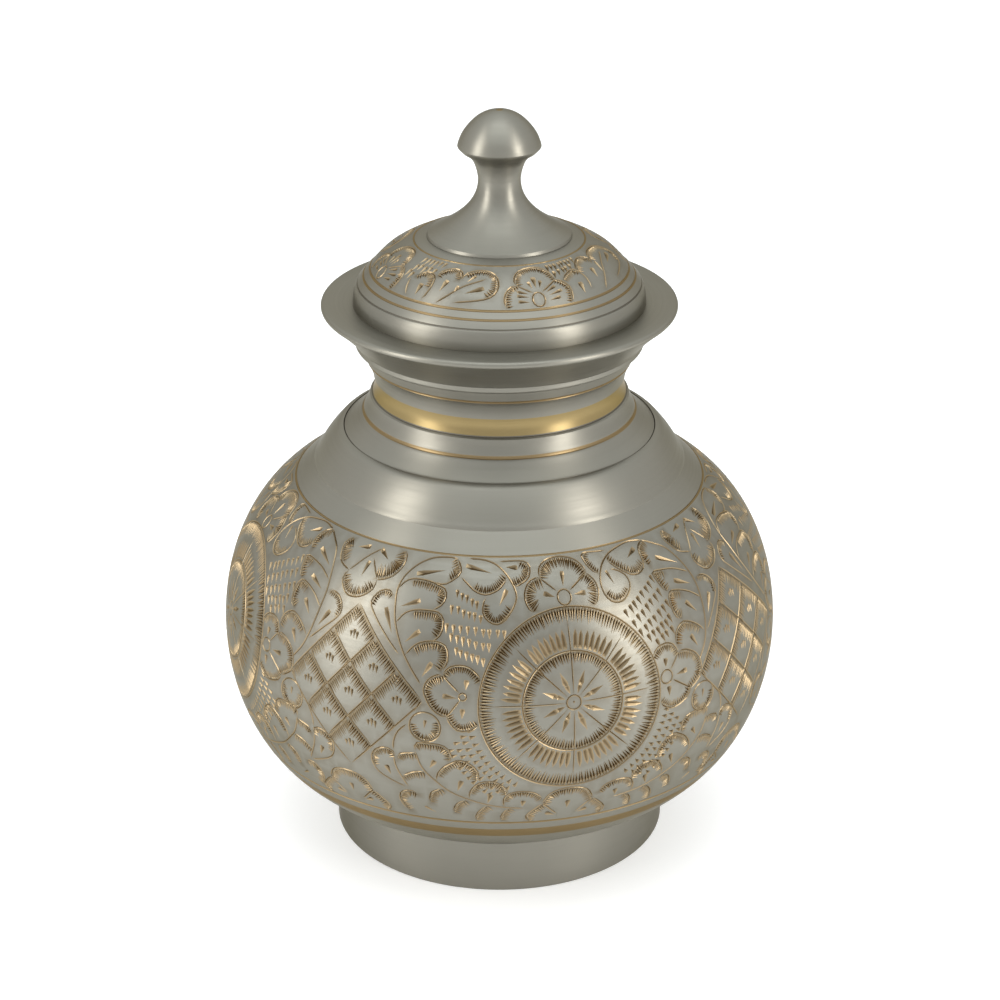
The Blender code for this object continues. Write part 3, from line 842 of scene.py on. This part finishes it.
# %% [markdown]
# ## From strokes to a surface
# The sheet is meshed by a constrained Delaunay triangulation, because no turned or subdivided
# grid could follow thousands of strokes: every outline and every valley is kept as an edge. A
# corner's depth is the deepest of the strokes that cover it, and a face inside a stroke is brass.

# %% Measure how deep the strokes lie
def depth_at(spots, strokes, swell=0.0):
    """The depth of the deepest stroke over each spot; a swell widens the strokes."""
    order = np.argsort(spots[:, 0])
    xs = spots[order, 0]
    depth = np.zeros(len(spots))
    for path, halves, depths, closed, _ in strokes:
        ends = np.roll(np.arange(len(path)), -1)
        for index in range(len(path) if closed else len(path) - 1):
            here, there = path[index], path[ends[index]]
            reach = max(halves[index], halves[ends[index]]) + swell
            low = np.searchsorted(xs, min(here[0], there[0]) - reach)
            high = np.searchsorted(xs, max(here[0], there[0]) + reach)
            if low == high:
                continue
            picked = order[low:high]
            offset = spots[picked] - here
            run = there - here
            share = np.clip(offset @ run / (run @ run), 0, 1)
            distance = np.hypot(*(offset - share[:, None] * run).T)
            half = halves[index] * (1 - share) + halves[ends[index]] * share + swell
            deep = depths[index] * (1 - share) + depths[ends[index]] * share
            if swell:
                deep = np.ones(len(share))
            found = deep * np.clip(1 - distance / np.maximum(half, 1e-6), 0, None)
            depth[picked] = np.maximum(depth[picked], found)
    return depth


def stroke_edges(strokes, corners, edges, shades):
    """Adds every stroke's outline and valley to the triangulation's corners and edges."""
    shares = (1.0, 0.8, 0.0)
    for path, halves, _, closed, shade in strokes:
        if closed:
            along = np.roll(path, -1, axis=0) - np.roll(path, 1, axis=0)
        else:
            along = np.vstack([path[1:], path[-1:]]) - np.vstack([path[:1], path[:-1]])
        along /= np.hypot(*along.T)[:, None]
        normal = np.column_stack([-along[:, 1], along[:, 0]])
        rows = []
        for shift in (halves[:, None] * normal, 0 * normal, -halves[:, None] * normal):
            first = len(corners)
            corners.extend(map(tuple, path + shift))
            shades.extend(shade * share for share in (shares if len(path) == 3 else [1] * len(path)))
            rows.append(range(first, first + len(path)))
        for row in rows:
            edges.extend(zip(row, row[1:]))
            if closed:
                edges.append((row[-1], row[0]))
        if not closed and halves[0] > 0:
            edges.append((rows[0][0], rows[1][0]))
            edges.append((rows[1][0], rows[2][0]))


# %% Triangulate a sheet
CLEARANCE = 0.45
MERGE_WITHIN = 0.004
SHADE_AT_CROSSINGS = 0.4
LEAST_CUT = 0.012


def engraved_sheet(strokes, left, right, low, high, columns, rows):
    """Corners, depths, faces and which faces are cut, for one repeat of a sheet."""
    width = right - left
    shown = []
    for stroke in strokes:
        spine = stroke[0]
        for shift in (-width, 0, width):
            if spine[:, 0].max() + shift > left - 2 and spine[:, 0].min() + shift < right + 2:
                shown += moved([stroke], shift)
    corners, edges, shades = [], [], []
    stroke_edges(shown, corners, edges, shades)
    across = np.linspace(left, right, columns + 1)
    up = np.linspace(low, high, rows + 1)
    grid = np.array([(x, y) for y in up for x in across])
    inner = (grid[:, 0] > left) & (grid[:, 0] < right) & (grid[:, 1] > low) & (grid[:, 1] < high)
    clear = depth_at(grid, shown, CLEARANCE) == 0
    corners.extend(map(tuple, grid[inner & clear]))
    for fixed, axis in ((left, 0), (right, 0), (low, 1), (high, 1)):
        first = len(corners)
        spread = up if axis == 0 else across
        corners.extend((fixed, y) if axis == 0 else (y, fixed) for y in spread)
        edges.extend((index, index + 1) for index in range(first, len(corners) - 1))
    found = delaunay_2d_cdt([Vector(corner) for corner in corners], edges, [], 0, MERGE_WITHIN)
    spots = np.array([tuple(spot) for spot in found[0]])
    shades = np.array(shades + [0.0] * (len(corners) - len(shades)))
    shade = np.array([shades[origins].max() if origins else SHADE_AT_CROSSINGS for origins in found[3]])
    faces = np.array(found[2])
    middle = spots[faces].mean(axis=1)
    inside = ((middle[:, 0] > left) & (middle[:, 0] < right)
              & (middle[:, 1] > low) & (middle[:, 1] < high))
    faces, middle = faces[inside], middle[inside]
    depth = depth_at(spots, shown)
    cut = depth_at(middle, shown) > LEAST_CUT
    return spots, depth, shade, faces, cut


SHEET_LOW, SHEET_HIGH = -36.9, 63.75
COLUMNS = SPIN_STEPS // REPEATS
SHEET_LEFT = math.radians(-60) * BOWL_RADIUS / MM
sheet = engraved_sheet(cuts, SHEET_LEFT, SHEET_LEFT + PERIOD, SHEET_LOW, SHEET_HIGH, COLUMNS, 30)
print("one repeat:", len(sheet[0]), "corners,", len(sheet[3]), "faces,", int(sheet[4].sum()), "cut")

# %% Bend a sheet round its piece
MARKS = ("up_side", "cut_depth", "stroke_shade")
# Corners off the sheet keep a mark of 0, so heights up the sheet are stored well away from it.
MARK_OFFSET = 1000


def bend_sheet(shape, sheet, side_at, circumference, repeats):
    """Lays a sheet on a turned piece, cuts in by each corner's depth and repeats it round."""
    spots, depth, shade, faces, cut = sheet
    layers = shape.verts.layers.float
    height_mark, depth_mark, shade_mark = [layers.new(name) for name in MARKS]
    radius, height, out, up = side_at(spots[:, 1])
    turn = spots[:, 0] / circumference * math.tau
    lowered = radius - out * depth
    places = np.column_stack([lowered * np.sin(turn), -lowered * np.cos(turn), height - up * depth])
    corners = {}
    for index in np.unique(faces):
        corner = shape.verts.new(places[index] * MM)
        corner[height_mark] = spots[index, 1] + MARK_OFFSET
        corner[depth_mark] = depth[index]
        corner[shade_mark] = shade[index]
        corners[index] = corner
    made = []
    for face, is_cut in zip(faces, cut):
        if len(set(face)) == 3:
            new = shape.faces.new([corners[index] for index in face])
            new.material_index = CUT if is_cut else PEWTER
            new.smooth = True
            made.append(new)
    geometry = list(corners.values()) + made
    bmesh.ops.spin(shape, geom=geometry, cent=(0, 0, 0), axis=(0, 0, 1), use_duplicate=True,
                   angle=math.tau * (repeats - 1) / repeats, steps=repeats - 1)


# %% [markdown]
# ## Shading an engraved surface
# Thousands of slim triangles would make a satin surface look dented. So the faces left between the
# strokes take their normals from the turned form itself, and each facet of a stroke keeps its own
# flat normal, which is what makes single cuts flash as the light moves over them.

# %% Give the corners their normals
def shade_engraving(piece, side_at, low, high):
    """Exact normals on the plain faces of an engraved sheet and flat ones in its cuts."""
    mesh = piece.data
    marks = mesh.attributes["up_side"].data
    y = np.array([mark.value for mark in marks]) - MARK_OFFSET
    places = np.zeros(len(mesh.vertices) * 3)
    mesh.vertices.foreach_get("co", places)
    places = places.reshape(-1, 3)
    _, _, out, up = side_at(np.clip(y, low, high))
    share = out / (np.hypot(places[:, 0], places[:, 1]) + 1e-12)
    exact = np.column_stack([places[:, 0] * share, places[:, 1] * share, up])
    on_sheet = (y > low - 0.5) & (y < high + 0.5)
    normals = np.zeros((len(mesh.loops), 3))
    for face in mesh.polygons:
        corners = np.array(face.vertices)
        loops = slice(face.loop_start, face.loop_start + face.loop_total)
        if face.material_index == CUT:
            normals[loops] = face.normal
        elif on_sheet[corners].any():
            normals[loops] = np.where(on_sheet[corners][:, None], exact[corners], 0)
    mesh.normals_split_custom_set([tuple(normal) for normal in normals])


# %% [markdown]
# ## The vessel
# The rest of the vessel is plainly turned, so it is spun in runs, each with one finish: the
# pewter of foot, shoulder, neck and brim, the brass lines and the band let into them, a dark
# metal of painted shade in two small steps, and the dull wall inside. The runs share their end
# rings, so merging doubles closes the wall.

# %% Draw the vessel's profile
WALL = 0.0022
FOOT_RADIUS = 0.0602
FOOT_EDGE = 0.0008
FOOT_TOP = 0.0192
RECESS = FOOT_RADIUS - 0.0060
RECESS_TOP = 0.0010
BRIM_TOP = 0.2013
LINE_FLOOR = 0.00025
GROOVE = 0.0002


def groove_run(start, end, depth):
    """A shallow turned groove between two profile points: two slopes and a floor."""
    start, end = np.array(start), np.array(end)
    run = end - start
    square = np.array([-run[1], run[0]]) / np.hypot(*run)
    if square[0] > 0:
        square = -square
    return [tuple(start), tuple(start + run * 0.25 + square * depth),
            tuple(start + run * 0.75 + square * depth), tuple(end)]


def bowl_run(low, high, steps):
    """The bowl's profile between two distances up its side, in millimetres."""
    radius, height, _, _ = bowl_side(np.linspace(low, high, steps + 1))
    return [(r * MM, h * MM) for r, h in zip(radius, height)]


def inner_run(high, low, steps):
    """The bowl's inner side, one wall's thickness in from its outer one."""
    _, _, out, up = bowl_side(np.linspace(high, low, steps + 1))
    return [(r - o * WALL, h - u * WALL) for (r, h), o, u in zip(bowl_run(high, low, steps), out, up)]


lower_line = bowl_run(-38.1, SHEET_LOW, 1)
upper_line = bowl_run(SHEET_HIGH, 64.6, 1)
neck_inside = [(0.0478, 0.1908), (0.0459, 0.1857), (0.0443, 0.1817), (0.0414, 0.1724),
               (0.0422, 0.1687), (0.0523, 0.1545), (0.0632, 0.1416), (0.0700, 0.1362)]
foot_inside = [(0.0580, 0.0222), (0.0578, 0.0060), (0.0560, 0.0035), (0, 0.0035)]
lip = arc((0.0606, 0.2005), 0.0012, -50, 90, 7)
print("brass lines at", [round(line_run[0][1], 4) for line_run in (lower_line, upper_line)], "m")

# %% Build the vessel
vessel = bmesh.new()
bend_sheet(vessel, sheet, bowl_side, math.tau * BOWL_RADIUS / MM, REPEATS)
for finish, profile in (
        (INSIDE, [(0, RECESS_TOP), (RECESS * 0.5, RECESS_TOP), (RECESS, RECESS_TOP), (RECESS, 0)]),
        (PEWTER, [(RECESS, 0), (FOOT_RADIUS - FOOT_EDGE, 0)]
         + arc((FOOT_RADIUS - FOOT_EDGE, FOOT_EDGE), FOOT_EDGE, -60, 0, 3)
         + [(FOOT_RADIUS, 0.006), (FOOT_RADIUS, 0.0135), (FOOT_RADIUS, FOOT_TOP)]),
        (PEWTER, [(FOOT_RADIUS, FOOT_TOP), (FOOT_RADIUS - 0.0004, 0.0196)] + bowl_run(-74.5, -48.2, 8)),
        (LINES, bowl_run(-48.2, -42.2, 4)),
        (PEWTER, bowl_run(-42.2, -38.1, 2)),
        (LINES, groove_run(lower_line[0], lower_line[-1], LINE_FLOOR)),
        (LINES, groove_run(upper_line[0], upper_line[-1], LINE_FLOOR)),
        (PEWTER, through([upper_line[-1], (0.0687, 0.1402), (0.0655, 0.1432)], 3)),
        (PEWTER, [(0.0655, 0.1432), (0.0653, 0.1440)]
         + through([(0.0647, 0.1447), (0.0613, 0.1500), (0.0575, 0.1546), (0.0558, 0.1557),
                    (0.0549, 0.1559)], 3)),
        # Painted shade in the small step at the ledge.
        (STEP_SHADE, [(0.0549, 0.1559), (0.0547, 0.1555), (0.0545, 0.1558)]),
        (PEWTER, through([(0.0545, 0.1558), (0.0539, 0.1562), (0.0505, 0.1592), (0.0482, 0.1616)], 3)),
        (LINES, groove_run((0.0482, 0.1616), (0.0475, 0.1627), GROOVE)),
        (PEWTER, through([(0.0475, 0.1627), (0.0461, 0.1655), (0.0454, 0.1677)], 3)),
        (PEWTER, [(0.0454, 0.1677), (0.0448, 0.1682)]),
        # Painted shade in the small step under the brass band.
        (STEP_SHADE, [(0.0448, 0.1682), (0.0445, 0.1683), (0.0444, 0.1687)]),
        (BAND, through([(0.0444, 0.1687), (0.0438, 0.1706), (0.0436, 0.1724), (0.0439, 0.1746)], 2)),
        (PEWTER, through([(0.0439, 0.1746), (0.0444, 0.1770), (0.0455, 0.1800), (0.0463, 0.1812)], 2)),
        (LINES, groove_run((0.0463, 0.1812), (0.0467, 0.1822), GROOVE)),
        (PEWTER, through([(0.0467, 0.1822), (0.0475, 0.1842), (0.0483, 0.1862)], 2)),
        (PEWTER, [(0.0483, 0.1862)] + arc((0.0492, 0.1872), 0.0011, -100, 20, 6) + [(0.0503, 0.1884)]),
        (PEWTER, through([(0.0503, 0.1884), (0.0530, 0.1918), (0.0575, 0.1963), lip[0]], 4)),
        (PEWTER, lip + [(0.0560, 0.2016), (0.0513, BRIM_TOP), (0.0478, BRIM_TOP)]),
        (INSIDE, [(0.0478, BRIM_TOP)] + neck_inside),
        (INSIDE, neck_inside[-1:] + inner_run(62.0, -72.0, 9) + foot_inside)):
    spin_run(vessel, profile, finish)
urn_body = finish_piece(vessel, "urn_body_engraved", METALS, "urn_body")
shade_engraving(urn_body, bowl_side, SHEET_LOW, SHEET_HIGH)
triangles = sum(len(face.vertices) - 2 for face in urn_body.data.polygons)
print("vessel:", triangles, "triangles")

# %% [markdown]
# ## The finial
# One turned piece: a trumpet foot, a waisted stem and a pointed mushroom cap, with a speck of bare
# brass at its tip.

# %% Turn the finial
FINIAL_SEAT = 0.22495
FINIAL_STEPS = 96
STEM_RADIUS, STEM_HEIGHT = 0.0073, 0.2454

finial = bmesh.new()
trumpet = [(STEM_RADIUS + 0.0173 * (step / 20) ** 1.9, STEM_HEIGHT - 0.0194 * (step / 20) ** 0.85)
           for step in range(21)]
stem = through([(STEM_RADIUS, STEM_HEIGHT), (0.0078, 0.2482), (0.0090, 0.2515), (0.0107, 0.2535)], 5)
rim = [(0.0125, 0.2546), (0.0137, 0.2558), (0.0141, 0.2562), (0.0143, 0.2567)]
crown = through([(0.0141, 0.2577), (0.0128, 0.2608), (0.0104, 0.2641), (0.0072, 0.2670),
                 (0.0036, 0.2687), (0.0, 0.2692)], 5)
seat = [(0, FINIAL_SEAT), (0.0250, FINIAL_SEAT), (0.0250, 0.2251), (0.0248, 0.2255)]
spin_run(finial, seat + trumpet[::-1] + stem[1:] + rim, 0, FINIAL_STEPS)
spin_run(finial, rim[-1:] + crown[:-2], 0, FINIAL_STEPS)
spin_run(finial, crown[-3:], 1, FINIAL_STEPS)
urn_finial = finish_piece(finial, "lid_finial_turned", [pewter, line_brass], "lid_finial")
print("finial:", len(urn_finial.data.polygons), "faces")

# %% [markdown]
# ## The lid
# A domed cap with a spigot that drops into the mouth. Its sloping shoulder carries a band of
# the same leaves between two brass lines.

# %% Draw the lid's flower
BAND_RADIUS = 37.0
BAND_REPEATS = 2
BAND_PERIOD = math.tau * BAND_RADIUS / BAND_REPEATS
FLOWER = (11.7, 3.1)


def lid_flower():
    """A half flower that stands on the lower brass line, drawn round its own eye."""
    eye = [(1.9 * x, 2.6 * y) for x, y in circle((0, 0), 1, 12)]
    strokes = line(eye, 0.28, closed=True, spacing=1)
    strokes += petals(
        ([(-6.5, 6.1), (-6.6, 9), (-4.9, 11.9), (-1.3, 13.4), (2.9, 13.4), (6, 11.6), (7.8, 7.4)], 0, 6,
         -1, ((0, 8.9), (0, 4.2)), 2.1),
        ([(-9.9, -2.2), (-10.2, 1.5), (-8.6, 4.8), (-6.3, 6)], 0, 3, -1, None, 1.8),
        ([(8.1, 6.6), (10.2, 4.8), (11.3, 2), (10.4, -2.4)], 0, 3, -1, None, 1.8))
    strokes += line([(-1.3, 2.5), (-6.2, 5.9)]) + line([(1.6, 2.6), (8, 6.9)])
    for head, tip in (((-2.1, 7.1), (-1.2, 4.0)), ((2.2, 7.2), (1.2, 4.0)), ((-6.2, 3.4), (-2.7, 2.2)),
                      ((-6.4, 1.8), (-2.8, 1.0)), ((-6.2, -0.3), (-2.8, -0.8)), ((6.5, 4.2), (2.7, 2.2)),
                      ((8.1, 2.2), (3.4, 1.0)), ((6.9, -0.1), (3.2, -0.8))):
        strokes += wedge(head, tip, 0.6, 0.45)
    return strokes


# %% Draw the leaves between the lid's flowers
def lobed_leaf():
    """Three lobes that lean towards the flower on their right."""
    strokes = line([(-18.7, 0.6), (-16.1, 3.5), (-11.4, 8.2), (-4.6, 11.8)])
    strokes += petal([(-13.2, 10.8), (-11.9, 13.9), (-8.2, 15.7), (-4.1, 15.5), (-1.2, 13.4), (-0.2, 9.8),
        (-1, 6.4), (-3, 4.3), (-6.2, 3.2), (-13.5, 1.7)], 1, 7, -1, ((-4.9, 7.9), (-10.8, 5.3)), 2.1)
    strokes += wedge((-8.3, 13.1), (-10.9, 10.1), 0.62)
    strokes += petal([(-22.6, 11.3), (-21, 13.9), (-17.6, 15.2), (-14.5, 14.5), (-13.2, 12.4),
        (-13.2, 10.8)], 0, 5, -1, ((-17.7, 9.6), (-18.9, 4.8)), 2.2)
    strokes += wedge((-13.3, 8.0), (-14.4, 4.6), 0.5)
    strokes += petal([(-29.9, 9), (-27.5, 10.9), (-24.9, 11.2), (-22.8, 9.7), (-22.2, 6.1), (-22.9, 2.5),
        (-23.6, 0.9)], 0, 4, -1, ((-25.9, 6.2), (-26.4, 1.6)), 2.1)
    strokes += line([(-31.5, 7), (-30.8, 3.6), (-29.6, 0.9)])
    return strokes


def long_leaf():
    """Two lobes and a long leaf that lean away from the flower on their left."""
    strokes = petals(
        ([(22.4, 9.5), (25, 11.1), (28.1, 12.1), (29.9, 10.8), (30.9, 7.4), (30.4, 3.2)], 0, 3, -1,
         ((27.3, 6.4), (27.2, 2)), 2.1),
        ([(29.7, 10.8), (31.3, 13.4), (34.9, 15.5), (38, 15.3), (40.6, 13.4)], 0, 4, -1, ((36.3, 9.8),
         (35.6, 5.6)), 2.3))
    strokes += wedge((41.0, 11.2), (40.0, 6.4), 0.62)
    strokes += petal([(40.6, 13.4), (43.2, 15.4), (47.5, 16), (52.5, 15), (55.8, 11.8), (56.6, 8.2),
        (54.5, 5), (50, 3.6), (44.5, 2.2)], 0, 6, -1, ((52.6, 10.2), (46.4, 7.8)), 2.1)
    strokes += line([(35.6, 0.8), (38.6, 4.6), (43.5, 9.4), (50.5, 12.6)])
    return strokes


lid_cuts = moved(lid_flower(), *FLOWER) + moved(lid_flower(), FLOWER[0] + BAND_PERIOD / 2, FLOWER[1])
lid_cuts += lobed_leaf() + long_leaf()
for row in (((-32.8, 16.5), (-22.6, 17), 6), ((-33.2, 13), (-24.6, 13.6), 5),
            ((-34, 9.8), (-32, 9.6), 2), ((19.4, 16.9), (32.4, 17), 8), ((20.8, 13.4), (28.6, 14.9), 5)):
    lid_cuts += punched_row(*row, -0.25)
print("the lid's band:", len(lid_cuts), "strokes")

# %% Turn the lid
LID_SEAT = 0.20134
BAND_LOW, BAND_HIGH = 0.05, 17.85
BAND_LEFT = math.radians(-72.5) * BAND_RADIUS


def lid_point(y):
    """A point of the lid's dome, in metres, from its distance above the lower brass line."""
    radius, height, _, _ = lid_side(y)
    return float(radius) * MM, float(height) * MM


lid = bmesh.new()
dome = through([(0.0296, 0.2238), (0.0348, 0.2215), (0.0400, 0.2182), (0.0443, 0.2138)], 16)
lid_side = unrolled(dome[::-1], 0.0)
band = engraved_sheet(lid_cuts, BAND_LEFT, BAND_LEFT + BAND_PERIOD, BAND_LOW, BAND_HIGH,
                      SPIN_STEPS // BAND_REPEATS, 8)
bend_sheet(lid, band, lid_side, math.tau * BAND_RADIUS, BAND_REPEATS)
for finish, profile in (
        (PEWTER, [(0, 0.2249), (0.0254, 0.2249), (0.0280, 0.2243), (0.0291, 0.22395)]),
        (LINES, groove_run(lid_point(BAND_HIGH), (0.0291, 0.22395), -GROOVE)),
        (LINES, groove_run(lid_point(BAND_LOW), (0.0449, 0.2131), GROOVE)),
        (PEWTER, [(0.0449, 0.2131), (0.0466, 0.2114)]),
        (LINES, groove_run((0.0466, 0.2114), (0.0472, 0.2107), GROOVE)),
        (PEWTER, [(0.0472, 0.2107), (0.0482, 0.2096), (0.0489, 0.2087)]),
        # Painted shade in the small step under the lid's lowest brass line.
        (STEP_SHADE, [(0.0489, 0.2087), (0.0489, 0.2083), (0.0491, 0.2081)]),
        (PEWTER, through([(0.0491, 0.2081), (0.0494, 0.2080), (0.0500, 0.2067), (0.0505, 0.2045),
                          (0.0507, 0.2018)], 3) + [(0.0507, LID_SEAT), (0.0474, LID_SEAT)]),
        (INSIDE, [(0.0474, LID_SEAT), (0.0474, 0.1946), (0.0454, 0.1946), (0.0454, 0.2057),
                  (0.0440, 0.2100), (0.0400, 0.2150), (0.0340, 0.2192), (0.0254, 0.2226),
                  (0, 0.2229)])):
    spin_run(lid, profile, finish)
urn_lid = finish_piece(lid, "urn_lid_engraved", METALS, "urn_lid")
shade_engraving(urn_lid, lid_side, BAND_LOW, BAND_HIGH)
print("lid:", len(urn_lid.data.polygons), "faces")
